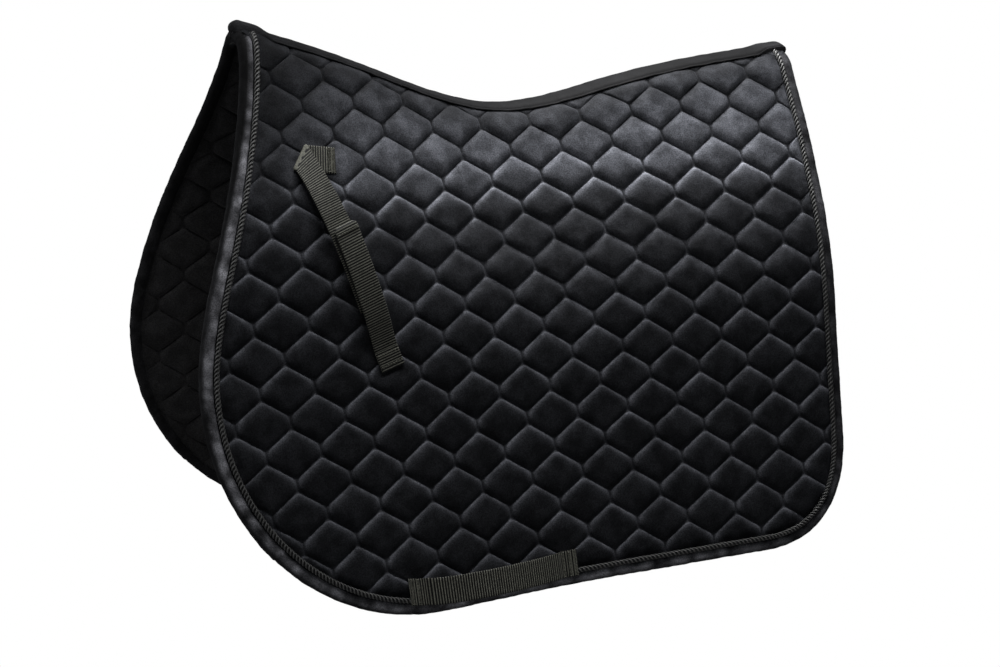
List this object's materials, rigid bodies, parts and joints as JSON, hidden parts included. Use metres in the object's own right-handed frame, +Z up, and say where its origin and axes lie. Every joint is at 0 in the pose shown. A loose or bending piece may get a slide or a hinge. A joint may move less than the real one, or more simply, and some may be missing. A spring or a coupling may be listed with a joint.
{
  "type": "saddle pad",
  "caption": "All purpose saddle pad: quilted flaps joined along a shaped spine, with bound and corded edges, hook-and-loop billet straps and girth loops.",
  "frame": {"origin": "the point of the horse's back that the pad lies on, under the spine tape at the middle of the pad's length", "axes": "+X towards the tail, +Y towards the horse's right side, +Z up"},
  "size_m": [0.6585, 0.3822, 0.5377],
  "materials": {
    "black_velvet": "short black velvet, quilted",
    "grey_foam": "soft grey foam and wadding",
    "black_lining": "dull black woven cloth",
    "binding_velvet": "black velvet strip",
    "piping_yarn": "twisted glossy black cord",
    "ribbed_webbing": "dark ribbed webbing",
    "hook_tape": "stiff hook tape",
    "loop_tape": "fuzzy loop tape"
  },
  "bodies": {
    "spine": {"spine_binding": "binding_velvet", "spine_tape": "black_lining"},
    "left_flap": {"left_outer_shell": "black_velvet", "left_core_padding": "grey_foam", "left_lining": "black_lining", "left_edge_binding": "binding_velvet", "left_piping_cord": "piping_yarn", "left_strap_upper_tab": "ribbed_webbing", "left_strap_loop_patch": "loop_tape", "left_strap_foot": "ribbed_webbing", "left_girth_loop": "ribbed_webbing"},
    "right_flap": {"right_outer_shell": "black_velvet", "right_core_padding": "grey_foam", "right_lining": "black_lining", "right_edge_binding": "binding_velvet", "right_piping_cord": "piping_yarn", "right_strap_upper_tab": "ribbed_webbing", "right_strap_loop_patch": "loop_tape", "right_strap_foot": "ribbed_webbing", "right_girth_loop": "ribbed_webbing"},
    "left_strap": {"left_strap_lower_tab": "ribbed_webbing", "left_strap_hook_patch": "hook_tape"},
    "right_strap": {"right_strap_lower_tab": "ribbed_webbing", "right_strap_hook_patch": "hook_tape"}
  },
  "joints": [
    {"name": "left_flap_lift", "type": "hinge", "parent": "spine", "child": "left_flap", "pos_m": [0, 0, 0.08683], "axis": [-0.9971, 0, 0.0762], "range_deg": [0, 12], "deforming": ["spine_binding", "spine_tape"]},
    {"name": "right_flap_lift", "type": "hinge", "parent": "spine", "child": "right_flap", "pos_m": [0, 0, 0.08683], "axis": [0.9971, 0, -0.0762], "range_deg": [0, 12], "deforming": ["spine_binding", "spine_tape"]},
    {"name": "left_strap_open", "type": "hinge", "parent": "left_flap", "child": "left_strap", "pos_m": [-0.15147, -0.13504, -0.18606], "axis": [0.9979, 0.0648, -0.0031], "range_deg": [0, 110]},
    {"name": "right_strap_open", "type": "hinge", "parent": "right_flap", "child": "right_strap", "pos_m": [-0.15147, 0.13504, -0.18606], "axis": [-0.9979, 0.0648, 0.0031], "range_deg": [0, 110]}
  ]
}
